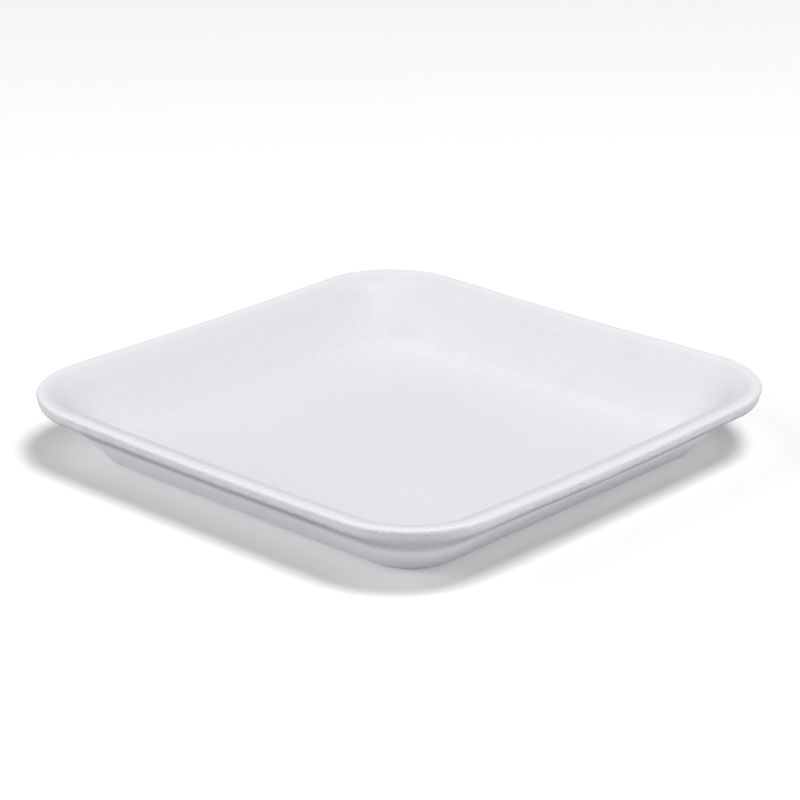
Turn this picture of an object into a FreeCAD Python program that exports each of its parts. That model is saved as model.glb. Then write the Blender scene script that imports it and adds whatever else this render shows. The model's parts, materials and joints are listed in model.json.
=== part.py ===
"""Square foam tray: one thermoformed sheet with a flat floor, sloping walls and a flared lip.

Millimetres, +Z up. The origin is the middle of the underside, so the tray stands on Z = 0, and its
sides run along X and Y. A section through the middle of a side is made of straight runs and arcs:
floor, wall, bend, lip and trimmed edge. The same section goes round every corner.
"""
import FreeCAD, Part

import math
import os

# Overall sizes
RIM_SIZE = 133.4        # across the lip, from one trimmed edge to the other
RIM_CORNER_R = 22.0     # plan radius of the lip's corners
HEIGHT = 16.2           # from the underside to the top of the lip

# Sheet thickness, which the forming draws out unevenly
FLOOR_THICK = 2.4
WALL_FOOT_THICK = 3.0   # square to the wall, where it meets the floor
WALL_TOP_THICK = 3.1    # square to the wall, where it meets the lip
LIP_THICK = 2.9         # at the trimmed edge

# Section of the inside
WALL_ANGLE = 51.5       # slope of the inner wall, in degrees above the floor
LIP_WIDTH = 6.5         # from the trimmed edge in to the line where wall and lip would meet
LIP_RISE = 0.6          # how far the lip climbs over that width
FLOOR_CORNER_R = 9.0    # plan radius of the floor's corners

# Rounding
LIP_BEND_R = 6.0        # wall to lip, upper side
UNDER_BEND_R = 2.2      # wall to lip, lower side
FLOOR_BEND_R = 2.5      # floor to wall, inside
FOOT_BEND_R = 1.9       # underside to wall, outside
RIM_TOP_R = 1.2         # upper corner of the trimmed edge
RIM_LOW_R = 0.8         # lower corner of the trimmed edge

CUT_CLEAR = 4.0         # how far past the trimmed edge the cavity's cutting tool reaches
FLAT_LEFT = 0.1         # least flat between two bends
ON_PLANE = 1e-4         # how near an edge lies to the plane that picks it

LIP_TILT = math.atan2(LIP_RISE, LIP_WIDTH)
ROUNDED_OFF = RIM_TOP_R * (math.tan(LIP_TILT) + 1 / math.cos(LIP_TILT) - 1)

RIM_HALF = RIM_SIZE / 2
TRIM_HIGH_Z = HEIGHT + ROUNDED_OFF
TRIM_LOW_Z = TRIM_HIGH_Z - LIP_THICK
MOUTH_HALF = RIM_HALF - LIP_WIDTH
MOUTH_CORNER_R = RIM_CORNER_R - LIP_WIDTH
MOUTH_Z = TRIM_HIGH_Z - LIP_RISE
UNDER_Z = MOUTH_Z - LIP_THICK


def inner_half(z):
    """Half the width between the inner walls at height z."""
    return MOUTH_HALF - (MOUTH_Z - z) / math.tan(math.radians(WALL_ANGLE))


def inner_corner(z):
    """Plan radius of the inner walls' corner at height z."""
    growth = (MOUTH_CORNER_R - FLOOR_CORNER_R) / (MOUTH_Z - FLOOR_THICK)
    return FLOOR_CORNER_R + growth * (z - FLOOR_THICK)


def outer_wall(z, thick):
    """The outline (half, corner_r, z) of the outer wall, with that much sheet square to the wall."""
    gap = thick / math.sin(math.radians(WALL_ANGLE))
    return inner_half(z) + gap, inner_corner(z) + gap, z


def ring(half, corner_r, z):
    """A square with rounded corners, flat at height z, as a closed wire."""
    edges = []
    for quarter in range(4):
        turn = FreeCAD.Rotation(FreeCAD.Vector(0, 0, 1), 90 * quarter)
        run = half - corner_r
        mid = run + corner_r * math.sqrt(0.5)
        side_start = turn.multVec(FreeCAD.Vector(half, -run, z))
        side_end = turn.multVec(FreeCAD.Vector(half, run, z))
        arc_mid = turn.multVec(FreeCAD.Vector(mid, mid, z))
        arc_end = turn.multVec(FreeCAD.Vector(run, half, z))
        edges.append(Part.makeLine(side_start, side_end))
        edges.append(Part.Arc(side_end, arc_mid, arc_end).toShape())
    return Part.Wire(edges)


def stack(outlines):
    """The solid through a list of outlines (half, corner_r, z), with straight walls between them."""
    return Part.makeLoft([ring(*outline) for outline in outlines], True, True)


def edges_at(shape, outline):
    """The edges of the shape that lie along an outline (half, corner_r, z)."""
    half, _, z = outline
    found = []
    for edge in shape.Edges:
        box = edge.BoundBox
        reach = max(abs(box.XMin), abs(box.XMax), abs(box.YMin), abs(box.YMax))
        if abs(box.ZMin - z) < ON_PLANE and abs(box.ZMax - z) < ON_PLANE and abs(reach - half) < ON_PLANE:
            found.append(edge)
    return found


def setback(radius, turn):
    """How much of the flat beside it a bend takes, for its turn in radians."""
    return radius * math.tan(turn / 2)


def bend_radius(wanted, room, turn):
    """The wanted radius, or the largest whose bend leaves a flat within the room beside it."""
    return min(wanted, (room - FLAT_LEFT) / setback(1, turn))


def outer_body():
    """The tray as a solid block: foot, outer walls, underside of the lip and trimmed edge."""
    foot = outer_wall(0, WALL_FOOT_THICK)
    under = outer_wall(UNDER_Z, WALL_TOP_THICK)
    trim_low = (RIM_HALF, RIM_CORNER_R, TRIM_LOW_Z)
    body = stack([foot, under, trim_low, (RIM_HALF, RIM_CORNER_R, TRIM_HIGH_Z)])
    reach = RIM_HALF - under[0]
    tilt = math.atan2(LIP_RISE, reach)
    turn = math.atan2(UNDER_Z, under[0] - foot[0]) - tilt
    room = math.hypot(LIP_RISE, reach) - setback(RIM_LOW_R, math.pi / 2 - tilt)
    body = body.makeFillet(bend_radius(UNDER_BEND_R, room, turn), edges_at(body, under))
    body = body.makeFillet(RIM_LOW_R, edges_at(body, trim_low))
    return body.makeFillet(FOOT_BEND_R, edges_at(body, foot))


def cavity():
    """What the tray holds, as a tool that reaches past the trimmed edge at the lip's own slope."""
    floor = (inner_half(FLOOR_THICK), FLOOR_CORNER_R, FLOOR_THICK)
    mouth = (MOUTH_HALF, MOUTH_CORNER_R, MOUTH_Z)
    top = TRIM_HIGH_Z + CUT_CLEAR * math.tan(LIP_TILT)
    tool = stack([floor, mouth, (RIM_HALF + CUT_CLEAR, RIM_CORNER_R + CUT_CLEAR, top)])
    turn = math.radians(WALL_ANGLE) - LIP_TILT
    room = math.hypot(LIP_RISE, LIP_WIDTH) - setback(RIM_TOP_R, math.pi / 2 + LIP_TILT)
    tool = tool.makeFillet(bend_radius(LIP_BEND_R, room, turn), edges_at(tool, mouth))
    return tool.makeFillet(FLOOR_BEND_R, edges_at(tool, floor))


def tray():
    """The whole tray: one solid."""
    shell = outer_body().cut(cavity())
    return shell.makeFillet(RIM_TOP_R, edges_at(shell, (RIM_HALF, RIM_CORNER_R, TRIM_HIGH_Z)))


def main():
    os.makedirs("parts", exist_ok=True)
    solid = tray()
    solid.exportStep("parts/foam_tray.step")
    print("volume cm3", round(solid.Volume / 1000, 2), "solids", len(solid.Solids), "valid", solid.isValid())
    print("floor across", round(2 * inner_half(FLOOR_THICK), 2))


main()
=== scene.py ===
"""A small square foam tray on a plain white floor.

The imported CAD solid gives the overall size. The tray shown here is one closed mesh: a section
of floor, wall, lip, trimmed edge, outer wall and underside, carried round a square with rounded
corners.
Metres, in the same frame as the CAD: +Z up, the middle of the underside at the origin.
"""
import json
import math

import bpy
import numpy as np
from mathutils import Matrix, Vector, noise


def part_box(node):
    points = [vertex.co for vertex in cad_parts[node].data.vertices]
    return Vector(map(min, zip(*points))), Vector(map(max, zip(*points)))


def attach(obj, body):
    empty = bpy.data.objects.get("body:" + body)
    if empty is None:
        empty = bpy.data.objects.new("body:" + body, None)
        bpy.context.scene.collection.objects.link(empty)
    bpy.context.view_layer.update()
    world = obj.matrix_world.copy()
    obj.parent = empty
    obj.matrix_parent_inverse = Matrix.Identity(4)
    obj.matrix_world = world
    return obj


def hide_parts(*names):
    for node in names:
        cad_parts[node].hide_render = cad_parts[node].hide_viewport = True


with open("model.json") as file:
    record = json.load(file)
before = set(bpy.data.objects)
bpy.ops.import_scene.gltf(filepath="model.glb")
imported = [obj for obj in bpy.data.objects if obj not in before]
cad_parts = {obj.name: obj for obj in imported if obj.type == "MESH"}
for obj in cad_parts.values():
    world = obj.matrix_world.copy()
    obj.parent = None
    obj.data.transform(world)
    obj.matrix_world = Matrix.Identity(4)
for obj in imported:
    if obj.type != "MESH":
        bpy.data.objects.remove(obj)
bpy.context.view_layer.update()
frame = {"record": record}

MM = 0.001

# The tray's size, from the frame
LOW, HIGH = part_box("foam_tray")
RIM_HALF = HIGH.x
HEIGHT = HIGH.z
FLOOR_Z = next(m for m in frame["record"]["mounts"] if m["name"] == "floor_face")["pos_m"][2]

# Section of the sheet, from the floor out to the trimmed edge and back underneath
FLOOR_HALF = 49.6 * MM              # out to the line where floor and wall would meet
WALL_ANGLE = math.radians(51.5)     # slope of the inner wall
OUTER_ANGLE = math.radians(51.2)    # slope of the outer wall
FOOT_THICK = 3.85 * MM              # the sheet measured level, where it meets the ground
LIP_TILT = math.radians(19)         # slope of the lip where it leaves the wall's bend
LIP_BEND_R = 5.5 * MM               # wall to lip, upper side
CROWN_R = 8.5 * MM                  # the lip's upper side, which levels out towards its edge
UNDER_BEND_R = 2.2 * MM             # wall to lip, lower side
UNDER_TILT = math.radians(4)        # slope of the lip's lower side
FOOT_BEND_R = 1.9 * MM
RIM_TOP_R = 0.85 * MM
CROWN_INSET = 1.1 * MM              # from the trimmed edge in to where the lip's upper side ends
RIM_LOW_R = 1.3 * MM
LIP_THICK_SIDE = 2.9 * MM           # at the trimmed edge, halfway along a side
LIP_THICK_CORNER = 3.3 * MM
CUT_TILT_SIDE = math.radians(4)     # the trimmed edge faces this far below level
CUT_TILT_CORNER = math.radians(12)

# The ramp between floor and wall: short along the sides, long and gentle in the corners
RAMP_INSET = 1.2 * MM               # from the floor line in to the ramp's foot
RAMP_RISE_SIDE = 0.8 * MM
RAMP_RISE_CORNER = 1.3 * MM
RAMP_BEND_R = 3.5 * MM              # floor to ramp
FLOOR_BEND_R = 3.5 * MM             # ramp to wall
CORNER_REACH = 30                   # a corner's values fade out this many columns from its middle

# Plan
FOOT_CENTRE = 39.4 * MM             # from the middle to the centre of each corner, at the ground
CENTRE_RISE = 0.47                  # how far that centre moves out, for each unit of height
WALL_CENTRE = 44.7 * MM             # and where it stops
CENTRE_SOFT = 1.5 * MM              # eases it to that stop
RIM_CORNER_R = (24 * MM, 22 * MM, 24 * MM, 22 * MM)     # corners +X+Y, -X+Y, -X-Y and +X-Y
FLAT_CORNER_R = 18 * MM             # the corners of the floor's flat part are wide
FLAT_INSET = 2.0 * MM               # they tighten from this far inside the floor line
FLAT_OUTSET = 1.0 * MM              # to this far outside it, which makes the corner's ramp long
FLAT_SOFT = 0.8 * MM                # eases them to that
TRIM_REACH = 6 * MM                 # the lip takes up the die's corner over this width
RIM_SAG = (0.95 * MM, 0.55 * MM, 0.55 * MM, 0.55 * MM)  # halfway along sides +X, +Y, -X and -Y
SAG_FROM = 0.3 * HEIGHT             # the sides start to hang at this height
SAG_FULL = 0.95 * HEIGHT

# How finely the mesh is divided
SIDE_STEPS = 70                     # along a straight side
CORNER_STEPS = 28                   # round a corner
SPLIT = 3                           # the trimmed edge is divided this many times finer
EDGE_BAND = 2.2 * MM                # from the trimmed edge in to where that starts
SAME_ROW = 0.02 * MM                # rows this close together are one row
QUARTER = SIDE_STEPS + CORNER_STEPS
FLOOR_RING = 36 * MM                # the floor is filled with a grid inside this half-width
RELAX_STEPS = 400                   # evens out the grid that fills the floor

# Surface
CUT_ROUGH = 0.15 * MM               # depth of the torn cells in the trimmed edge
CUT_CELL = 1.1 * MM                 # and their size
CUT_BAND = 0.8 * MM                 # how far onto the lip they show
CUT_WAVE = 0.10 * MM                # depth of the die's longer waver
CUT_WAVE_LENGTH = 3.5 * MM
SKIN_WAVE = 0.05 * MM               # how far the skin is from flat
SKIN_WAVE_LENGTH = 14 * MM
CUT_BITE = 0.4                      # the torn cells go in by this much more than they stand out
MOTTLE_SIZE = 2.4 * MM              # patches of slightly uneven density
CELL_SIZE = 0.45 * MM               # the foam's cells, under the skin
CELL_DEPTH = 0.03 * MM
OPEN_CELL_SIZE = 0.55 * MM          # and where they are open, on the trimmed edge
OPEN_CELL_DEPTH = 0.18 * MM

# Colour
FOAM_DENSE = (0.790, 0.782, 0.818, 1)
FOAM_LIGHT = (0.810, 0.802, 0.838, 1)
# Painted highlight: the lip's top is made whiter, standing in for the light its crest catches
HIGHLIGHT_START = 4.5 * MM               # the lip's upper side is painted lighter from here out, a painted highlight and fully so this near the trimmed edge
HIGHLIGHT_FULL = 2.0 * MM                # and fully so this near the trimmed edge
HIGHLIGHT_WHITE = (0.875, 0.867, 0.908, 1)
# Painted shade: grey put into the colour at the lip's lower edge, under the lip and on the outer
# wall below it, where shadow falls
SHADE_TOP = 1.4 * MM              # painted shade under the lip starts this far below the lip's top fully from here, round under the lip and down the outer wall, fading out at this height over this much of it and less in the corners
SHADE_FULL = 2.8 * MM             # fully from here, round under the lip
SHADE_LOW = 5.9 * MM              # and down the outer wall, fading out at this height
SHADE_FADE = 2.9 * MM             # over this much of it
SHADE_CORNER = 0.7                # and less in the corners
SHADE_GREY = (0.31, 0.302, 0.33, 1)
CUT_SHADE_GREY = (0.66, 0.652, 0.685, 1)  # the trimmed edge, darkened: painted shade for the edge's face and the shadows in its open cells

# Studio
CAMERA_AZIMUTH = 42.82              # degrees round from -Y
CAMERA_ELEVATION = 21.06
CAMERA_TARGET = (-0.0075, 0.0080, 0.008)
CAMERA_DISTANCE = 0.6645
CAMERA_LENS = 126.4                 # mm, on a sensor this wide
CAMERA_SENSOR = 36
FLOOR_REACH = 4.0
FLOOR_GLOW = 0.12                   # the white floor glows a little
LIGHT_DISTANCE = 2.2
SOFT_BOXES = (                      # name, degrees round from the camera and up, width, watts
    ("key", 45, 70, 0.8, 36.0),
    ("left", -80, 25, 0.8, 17.0),
    ("left_high", -90, 48, 1.0, 5.4),
    ("right", 80, 25, 0.8, 9.5),
    ("back", -150, 70, 1.2, 1.8),
)


def smooth(value, start, end):
    """0 before start, 1 after end, and an even S between them."""
    t = np.clip((value - start) / (end - start), 0, 1)
    return t * t * (3 - 2 * t)


def soft_limit(value, limit, ease):
    """The value, eased so that it levels out at the limit."""
    return limit - ease * np.logaddexp(0, (limit - value) / ease)


def at_least(value, least, ease):
    """The value, eased so that it never falls below the least."""
    return -soft_limit(-value, -least, ease)


def hump(distance):
    """1 at no distance, falling smoothly to 0 at a distance of 1 and beyond."""
    return (1 + np.cos(math.pi * np.minimum(distance, 1))) / 2


# ---- Round the tray ----

class Columns:
    """Where each column of the mesh stands round the tray: on a straight side, or in a corner."""

    def __init__(self, split):
        side_steps = SIDE_STEPS * split
        corner_steps = CORNER_STEPS * split
        along = np.arange(side_steps) / side_steps
        turn = np.arange(corner_steps) / corner_steps
        share = np.concatenate([along, np.ones(corner_steps)])
        angle = np.concatenate([np.zeros(side_steps), turn * math.pi / 2])
        place = np.arange(side_steps + corner_steps)
        self.quarter = np.repeat(np.arange(4), len(place))
        self.share = np.tile(share, 4)
        self.angle = np.tile(angle, 4)
        self.in_corner = np.tile(place >= side_steps, 4)
        from_middle = np.abs(place - side_steps / 2)
        reach = (side_steps + corner_steps) / 2
        from_middle = np.minimum(from_middle, 2 * reach - from_middle)
        self.middled = np.tile(hump(from_middle / reach), 4)
        self.cornered = np.tile(hump((reach - from_middle) / (CORNER_REACH * split)), 4)
        start = corner_steps // 2
        for name in ("quarter", "share", "angle", "in_corner", "cornered", "middled"):
            setattr(self, name, np.roll(getattr(self, name), start))

    def points(self, half, z):
        """The points at half-width half and height z, each an array of rows by columns."""
        wall = soft_limit(FOOT_CENTRE + CENTRE_RISE * z, WALL_CENTRE, CENTRE_SOFT)
        trim = RIM_HALF - np.array(RIM_CORNER_R) - WALL_CENTRE
        outward = smooth(half, RIM_HALF - TRIM_REACH, RIM_HALF)
        after = wall + trim[self.quarter] * outward
        before = wall + trim[self.quarter - 1] * outward
        tightened = smooth(half, FLOOR_HALF - FLAT_INSET, FLOOR_HALF + FLAT_OUTSET)
        least = FLAT_CORNER_R * (1 - tightened)
        after = half - at_least(half - after, least, FLAT_SOFT)
        before = half - at_least(half - before, least, FLAT_SOFT)
        radius = half - after
        out = np.where(self.in_corner, after + radius * np.cos(self.angle), half)
        side = np.where(self.in_corner, after + radius * np.sin(self.angle),
                        -before + (after + before) * self.share)
        c = np.cos(self.quarter * math.pi / 2)
        s = np.sin(self.quarter * math.pi / 2)
        nearest = (self.quarter + (self.angle > math.pi / 4)) % 4
        sag = np.array(RIM_SAG)[nearest] * self.middled * smooth(z, SAG_FROM, SAG_FULL)
        return np.stack([out * c - side * s, out * s + side * c, z - sag], -1)


# ---- The section ----

def crossing(a, angle_a, b, angle_b):
    """Where a line through a, rising at angle_a, meets one through b, rising at angle_b."""
    slope_a, slope_b = math.tan(angle_a), math.tan(angle_b)
    run = (b[1] - a[1] - (b[0] - a[0]) * slope_b) / (slope_a - slope_b)
    return a[0] + run, a[1] + run * slope_a


def upper_corners():
    """The section's sharp corners on the upper side, as (half, z): floor line, mouth and crown."""
    floor = FLOOR_HALF, FLOOR_Z
    crown = RIM_HALF - CROWN_INSET - CROWN_R * math.tan(LIP_TILT / 2), HEIGHT
    mouth = crossing(floor, WALL_ANGLE, crown, LIP_TILT)
    return floor, mouth, crown


FLOOR_CORNER, MOUTH_CORNER, CROWN_CORNER = upper_corners()


def between(side, corner, cornered):
    """A value that is the first along the sides and the second in the corners."""
    return side + (corner - side) * cornered


def section(columns):
    """The sheet's section at each column, by its sharp corners.

    Each is (half, z, bend radius, steps round the bend, steps along the run before it).
    """
    cornered = columns.cornered
    thick = between(LIP_THICK_SIDE, LIP_THICK_CORNER, cornered)
    tilt = between(CUT_TILT_SIDE, CUT_TILT_CORNER, cornered)
    rise = between(RAMP_RISE_SIDE, RAMP_RISE_CORNER, cornered)
    ramp_top = FLOOR_HALF + rise / math.tan(WALL_ANGLE), FLOOR_Z + rise
    ramp_foot = FLOOR_HALF - RAMP_INSET, FLOOR_Z
    foot = crossing(FLOOR_CORNER, WALL_ANGLE, (0, 0), 0)[0] + FOOT_THICK, 0
    trim_low = RIM_HALF - thick * np.tan(tilt), HEIGHT - thick
    under = crossing(foot, OUTER_ANGLE, trim_low, UNDER_TILT)
    return [
        (FLOOR_RING, FLOOR_Z, 0, 0, 0),
        (*ramp_foot, RAMP_BEND_R, 6, 8),
        (*ramp_top, FLOOR_BEND_R, 10, 3),
        (*MOUTH_CORNER, LIP_BEND_R, 9, 12),
        (*CROWN_CORNER, CROWN_R, 10, 1),
        (RIM_HALF, HEIGHT, RIM_TOP_R, 5, 1),
        (*trim_low, RIM_LOW_R, 6, 1),
        (*under, UNDER_BEND_R, 8, 5),
        (*foot, FOOT_BEND_R, 8, 14),
        (0, 0, 0, 0, 0),
    ]


def rows(columns):
    """The section with its corners rounded: half-widths and heights, in rows by columns."""
    size = len(columns.angle)
    stops = section(columns)
    at = np.array([[np.broadcast_to(value, size) for value in stop[:2]] for stop in stops])
    found = [at[0]]
    for i in range(1, len(stops) - 1):
        radius, bend_steps, run_steps = stops[i][2:]
        before = at[i] - at[i - 1]
        after = at[i + 1] - at[i]
        before = before / np.hypot(*before)
        after = after / np.hypot(*after)
        cosine = (before * after).sum(0)
        turn = np.arccos(np.clip(cosine, -1, 1))
        inward = (after - before * cosine) / np.sin(turn)
        start = at[i] - before * radius * np.tan(turn / 2)
        gap = start - found[-1]
        run = [found[-1] + gap * k / (run_steps + 1) for k in range(1, run_steps + 1)]
        angles = [turn * k / bend_steps for k in range(bend_steps + 1)]
        bend = [start + radius * (before * np.sin(a) + inward * (1 - np.cos(a))) for a in angles]
        for row in run + bend:
            if np.hypot(*(row - found[-1])).mean() > SAME_ROW:
                found.append(row)
    found = np.array(found)
    return found[:, 0], found[:, 1]


# ---- The surface ----

def waver(point, length, octaves):
    """Smooth noise between about -1 and 1 at a point, whose waves are that long."""
    return noise.fractal(point / length, 1.0, 2.0, octaves)


def worn(point, normal, cut):
    """The point moved a little along its normal: a gentle wave, and torn cells where it is cut."""
    skin = SKIN_WAVE * waver(point, SKIN_WAVE_LENGTH, octaves=2) * smooth(point.z, 0, FLOOR_Z)
    if cut == 0:
        return point + normal * skin
    torn = CUT_ROUGH * (waver(point, CUT_CELL, octaves=3) - CUT_BITE)
    waved = CUT_WAVE * waver(point, CUT_WAVE_LENGTH, octaves=2)
    return point + normal * (skin + cut * (torn + waved))


# ---- The mesh ----

def strip(lower, upper):
    """Faces between two rings of vertices, of which one may be SPLIT times finer than the other."""
    faces = []
    n, m = len(lower), len(upper)
    if n == m:
        for i in range(n):
            faces.append((lower[i], upper[i], upper[(i + 1) % n], lower[(i + 1) % n]))
        return faces
    if n > m:
        return [face[::-1] for face in strip(upper, lower)]
    for i in range(n):
        a, b = lower[i], lower[(i + 1) % n]
        fine = [upper[(SPLIT * i + j) % m] for j in range(SPLIT + 1)]
        faces.append((a, fine[0], fine[1]))
        faces.append((a, *fine[1:SPLIT], b))
        faces.append((b, fine[SPLIT - 1], fine[SPLIT]))
    return faces


def patch(points, ring, up):
    """Fills a ring of vertices with a grid: adds the grid's own vertices and returns its faces."""
    n = QUARTER
    edge = [ring[k * n:(k + 1) * n + 1] for k in range(4)]
    edge[3] = ring[3 * n:] + ring[:1]
    right, top, left, bottom = edge[0], edge[1][::-1], edge[2][::-1], edge[3]
    u, v = np.meshgrid(np.arange(n + 1) / n, np.arange(n + 1) / n)
    u, v = u[..., None], v[..., None]
    x0, x1 = (np.array([points[k] for k in side])[:, None] for side in (left, right))
    y0, y1 = (np.array([points[k] for k in side])[None] for side in (bottom, top))
    both = (x0[0] * (1 - u) + x1[0] * u) * (1 - v) + (x0[n] * (1 - u) + x1[n] * u) * v
    place = x0 * (1 - u) + x1 * u + y0 * (1 - v) + y1 * v - both
    for _ in range(RELAX_STEPS):
        beside = place[1:-1, :-2] + place[1:-1, 2:]
        place[1:-1, 1:-1] = (place[:-2, 1:-1] + place[2:, 1:-1] + beside) / 4
    grid = [[None] * (n + 1) for _ in range(n + 1)]
    for i in range(n + 1):
        grid[0][i], grid[n][i] = bottom[i], top[i]
        grid[i][0], grid[i][n] = left[i], right[i]
    for j in range(1, n):
        for i in range(1, n):
            grid[j][i] = len(points)
            points.append(Vector(place[j, i]))
    faces = []
    for j in range(n):
        for i in range(n):
            face = (grid[j][i], grid[j][i + 1], grid[j + 1][i + 1], grid[j + 1][i])
            faces.append(face if up else face[::-1])
    return faces


def highlight_rows(half):
    """How much painted highlight each row gets: the lip's upper side, out to its edge."""
    edge = int(np.argmax(half))
    outward = smooth(half, RIM_HALF - HIGHLIGHT_START, RIM_HALF - HIGHLIGHT_FULL)
    return np.where(np.arange(len(half)) <= edge, outward, 0)


def under_lip_shade_rows(half, z):
    """How much painted shade each row gets: at the lip's lower edge and under it."""
    edge = int(np.argmax(half))
    started = smooth(HEIGHT - z, SHADE_TOP, SHADE_FULL)
    ended = smooth(z, SHADE_LOW, SHADE_LOW + SHADE_FADE)
    return np.where(np.arange(len(z)) > edge, started * ended, 0)


def tray_mesh():
    """The tray as one closed mesh, which marks where its lip gets a painted highlight, its trimmed
    edge, and the painted shade under its lip.
    """
    columns = Columns(SPLIT)
    half, z = rows(columns)
    place = columns.points(half, z)
    finer = half.mean(1) > RIM_HALF - EDGE_BAND
    cut_row = smooth(half.mean(1), RIM_HALF - CUT_BAND, RIM_HALF)
    under_lip_shade_row = under_lip_shade_rows(half.mean(1), z.mean(1))
    highlight_row = highlight_rows(half.mean(1))
    points, highlight, cut, under_lip_shade, rings = [], [], [], [], []
    for row in range(len(place)):
        step = 1 if finer[row] else SPLIT
        chosen = place[row][::step]
        rings.append(list(range(len(points), len(points) + len(chosen))))
        points.extend(Vector(p) for p in chosen)
        highlight.extend([float(highlight_row[row])] * len(chosen))
        cut.extend([float(cut_row[row])] * len(chosen))
        under_lip_shade.extend(under_lip_shade_row[row] * between(1, SHADE_CORNER, columns.cornered[::step]))
    faces = []
    for lower, upper in zip(rings, rings[1:]):
        faces.extend(strip(lower, upper))
    faces.extend(patch(points, rings[0], True))
    faces.extend(patch(points, rings[-1], False))
    for values in (highlight, cut, under_lip_shade):
        values.extend([0.0] * (len(points) - len(values)))
    mesh = bpy.data.meshes.new("foam_tray_skin")
    mesh.from_pydata(points, [], faces)
    mesh.update()
    normals = [v.normal.copy() for v in mesh.vertices]
    moved = [worn(p, n, c) for p, n, c in zip(points, normals, cut)]
    mesh.vertices.foreach_set("co", np.array(moved, np.float32).ravel())
    for name, values in (("lip_highlight", highlight), ("cut_edge", cut), ("under_lip_shade", under_lip_shade)):
        attribute = mesh.attributes.new(name, "FLOAT", "POINT")
        attribute.data.foreach_set("value", np.array(values, np.float32))
    mesh.shade_smooth()
    mesh.update()
    return mesh


# ---- Materials ----

def add(tree, kind, **settings):
    node = tree.nodes.new(kind)
    for name, value in settings.items():
        setattr(node, name, value)
    return node


def tinted(tree, colour, amount, tint):
    """The colour socket mixed with a fixed tint, by an amount from 0 to 1."""
    mix = add(tree, "ShaderNodeMix", data_type="RGBA")
    named = {socket.identifier: socket for socket in [*mix.inputs, *mix.outputs]}
    named["B_Color"].default_value = tint
    tree.links.new(amount, named["Factor_Float"])
    tree.links.new(colour, named["A_Color"])
    return named["Result_Color"]


def foam_material():
    """White polystyrene foam: a satin skin over fine cells, which are open on the trimmed edge."""
    material = bpy.data.materials.new("white_foam")
    material.use_nodes = True
    tree = material.node_tree
    link = tree.links.new
    shader = tree.nodes["Principled BSDF"]
    shader.inputs["IOR"].default_value = 1.5
    shader.inputs["Specular IOR Level"].default_value = 0.4
    shader.inputs["Subsurface Weight"].default_value = 0.15
    shader.inputs["Subsurface Radius"].default_value = (1.0, 0.95, 0.95)
    shader.inputs["Subsurface Scale"].default_value = 0.8 * MM
    place = add(tree, "ShaderNodeTexCoord")
    cut = add(tree, "ShaderNodeAttribute", attribute_name="cut_edge")

    # Slightly uneven density shows as faint mottling
    mottle = add(tree, "ShaderNodeTexNoise")
    mottle.inputs["Scale"].default_value = 1 / MOTTLE_SIZE
    mottle.inputs["Detail"].default_value = 3
    link(place.outputs["Object"], mottle.inputs["Vector"])
    colour = add(tree, "ShaderNodeValToRGB")
    colour.color_ramp.elements[0].position = 0.3
    colour.color_ramp.elements[0].color = FOAM_DENSE
    colour.color_ramp.elements[1].position = 0.7
    colour.color_ramp.elements[1].color = FOAM_LIGHT
    link(mottle.outputs["Fac"], colour.inputs["Fac"])
    # the lip's upper side is painted whiter: a painted highlight
    highlight = add(tree, "ShaderNodeAttribute", attribute_name="lip_highlight")
    under_lip_shade = add(tree, "ShaderNodeAttribute", attribute_name="under_lip_shade")
    skin = tinted(tree, colour.outputs["Color"], highlight.outputs["Fac"], HIGHLIGHT_WHITE)
    # the trimmed edge is darkened with painted shade
    edged = tinted(tree, skin, cut.outputs["Fac"], CUT_SHADE_GREY)
    # painted shade: the band at and under the lip's lower edge is greyed
    link(tinted(tree, edged, under_lip_shade.outputs["Fac"], SHADE_GREY), shader.inputs["Base Color"])

    # The skin's finish, duller where the cells are open
    rough = add(tree, "ShaderNodeMapRange")
    rough.inputs["To Min"].default_value = 0.50
    rough.inputs["To Max"].default_value = 0.62
    link(mottle.outputs["Fac"], rough.inputs["Value"])
    dull = add(tree, "ShaderNodeMix", data_type="FLOAT")
    dull.inputs["B"].default_value = 0.85
    link(cut.outputs["Fac"], dull.inputs["Factor"])
    link(rough.outputs["Result"], dull.inputs["A"])
    link(dull.outputs["Result"], shader.inputs["Roughness"])

    # Cells under the skin, and open ones on the edge
    cells = add(tree, "ShaderNodeTexVoronoi", feature="SMOOTH_F1")
    cells.inputs["Scale"].default_value = 1 / CELL_SIZE
    link(place.outputs["Object"], cells.inputs["Vector"])
    pressed = add(tree, "ShaderNodeBump")
    pressed.inputs["Strength"].default_value = 0.6
    pressed.inputs["Distance"].default_value = CELL_DEPTH
    link(cells.outputs["Distance"], pressed.inputs["Height"])
    open_cells = add(tree, "ShaderNodeTexVoronoi")
    open_cells.inputs["Scale"].default_value = 1 / OPEN_CELL_SIZE
    link(place.outputs["Object"], open_cells.inputs["Vector"])
    torn = add(tree, "ShaderNodeBump")
    torn.inputs["Distance"].default_value = OPEN_CELL_DEPTH
    link(cut.outputs["Fac"], torn.inputs["Strength"])
    link(open_cells.outputs["Distance"], torn.inputs["Height"])
    link(pressed.outputs["Normal"], torn.inputs["Normal"])
    link(torn.outputs["Normal"], shader.inputs["Normal"])
    return material


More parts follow.
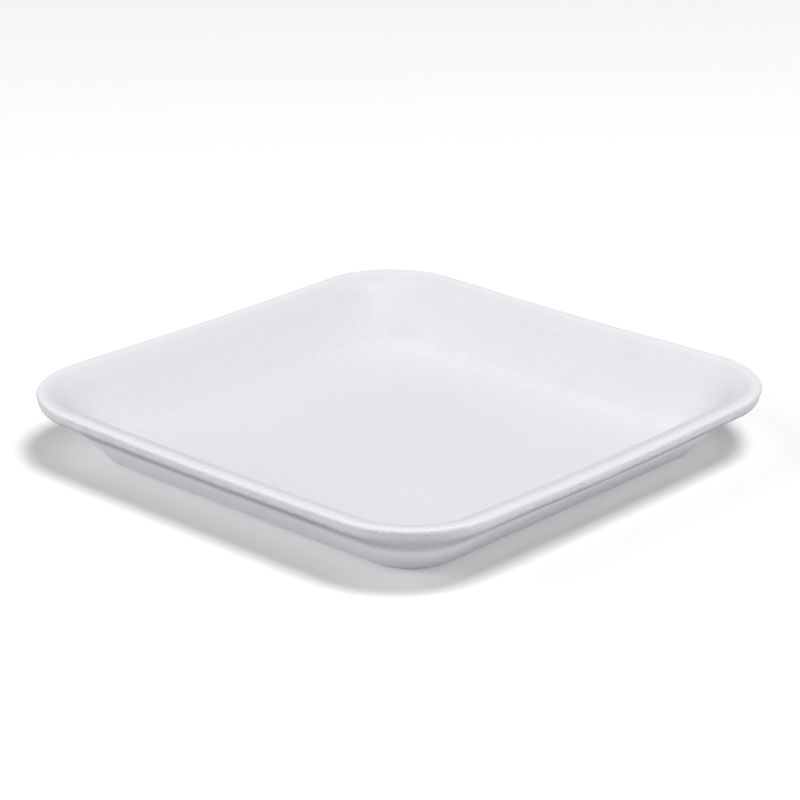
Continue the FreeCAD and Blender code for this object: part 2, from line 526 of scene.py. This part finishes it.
def floor_material():
    material = bpy.data.materials.new("white_paper")
    material.use_nodes = True
    shader = material.node_tree.nodes["Principled BSDF"]
    shader.inputs["Base Color"].default_value = (0.95, 0.95, 0.95, 1)
    shader.inputs["Roughness"].default_value = 0.9
    shader.inputs["Specular IOR Level"].default_value = 0.1
    shader.inputs["Emission Color"].default_value = (1, 1, 1, 1)
    shader.inputs["Emission Strength"].default_value = FLOOR_GLOW
    return material


# ---- The scene ----

def show(name, data):
    made = bpy.data.objects.new(name, data)
    bpy.context.scene.collection.objects.link(made)
    return made


def aim(thing, target):
    thing.rotation_mode = "QUATERNION"
    thing.rotation_quaternion = (target - thing.location).to_track_quat("-Z", "Y")


def add_tray():
    tray = show("tray", tray_mesh())
    tray.data.materials.append(foam_material())
    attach(tray, "root")
    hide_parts("foam_tray")


def add_floor():
    reach = FLOOR_REACH
    mesh = bpy.data.meshes.new("floor_sheet")
    corners = [(-reach, -reach, 0), (reach, -reach, 0), (reach, reach, 0), (-reach, reach, 0)]
    mesh.from_pydata(corners, [], [(0, 1, 2, 3)])
    mesh.materials.append(floor_material())
    show("floor", mesh)


def direction(azimuth, elevation):
    """The unit vector towards a place that many degrees round from -Y, counterclockwise, and up."""
    a, e = math.radians(azimuth), math.radians(elevation)
    return Vector((math.sin(a) * math.cos(e), -math.cos(a) * math.cos(e), math.sin(e)))


def add_soft_box(name, round_from_camera, elevation, width, power):
    light = bpy.data.lights.new(name, "AREA")
    light.size = width
    light.energy = power
    box = show(name, light)
    box.location = direction(CAMERA_AZIMUTH + round_from_camera, elevation) * LIGHT_DISTANCE
    aim(box, Vector((0, 0, 0)))


def add_light():
    world = bpy.data.worlds.new("studio")
    world.use_nodes = True
    world.node_tree.nodes["Background"].inputs["Strength"].default_value = 0
    bpy.context.scene.world = world
    for box in SOFT_BOXES:
        add_soft_box(*box)


def add_camera():
    target = Vector(CAMERA_TARGET)
    camera = bpy.data.cameras.new("camera")
    camera.lens = CAMERA_LENS
    camera.sensor_width = CAMERA_SENSOR
    made = show("camera", camera)
    made.location = target + direction(CAMERA_AZIMUTH, CAMERA_ELEVATION) * CAMERA_DISTANCE
    aim(made, target)
    bpy.context.scene.camera = made
    bpy.context.scene.view_settings.view_transform = "Standard"


add_tray()
add_floor()
add_light()
add_camera()
